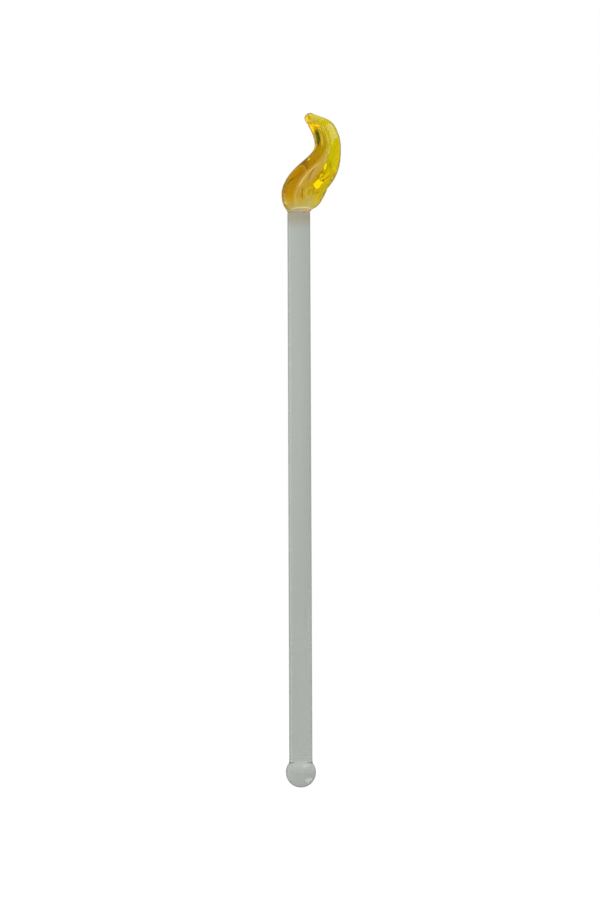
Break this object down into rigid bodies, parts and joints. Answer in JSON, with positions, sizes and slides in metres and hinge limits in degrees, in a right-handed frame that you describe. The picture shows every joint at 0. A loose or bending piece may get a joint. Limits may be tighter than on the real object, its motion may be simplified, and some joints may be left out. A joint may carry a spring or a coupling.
{
  "type": "swizzle stick",
  "caption": "Slender glass drink stirrer: a straight pale rod with a small stirring ball at one end and a curled, twisted amber and lemon glass flame at the other.",
  "frame": {"origin": "lowest point of the stirring ball, on the rod's axis", "axes": "+Z along the rod from the ball to the flame, +X towards the side the flame curls to, broadside seen from -Y"},
  "size_m": [0.0181, 0.0107, 0.2053],
  "materials": {
    "clear_glass": "smooth fire-polished pale grey glass",
    "cream_glass": "glossy cloudy cream glass",
    "core_glass": "clear glass",
    "honey_glass": "glossy honey-coloured glass",
    "lemon_glass": "glossy lemon-yellow glass",
    "gold_glass": "glossy golden glass",
    "amber_glass": "glossy dark amber glass"
  },
  "bodies": {
    "root": {"ball_end": "clear_glass", "stirring_rod": "clear_glass", "joint_weld": "cream_glass", "flame_core": "core_glass", "honey_rib": "honey_glass", "lemon_lobe": "lemon_glass", "belly_lobe": "lemon_glass", "gold_back_lobe": "gold_glass", "amber_lobe": "amber_glass", "flame_tip": "gold_glass"}
  },
  "joints": []
}
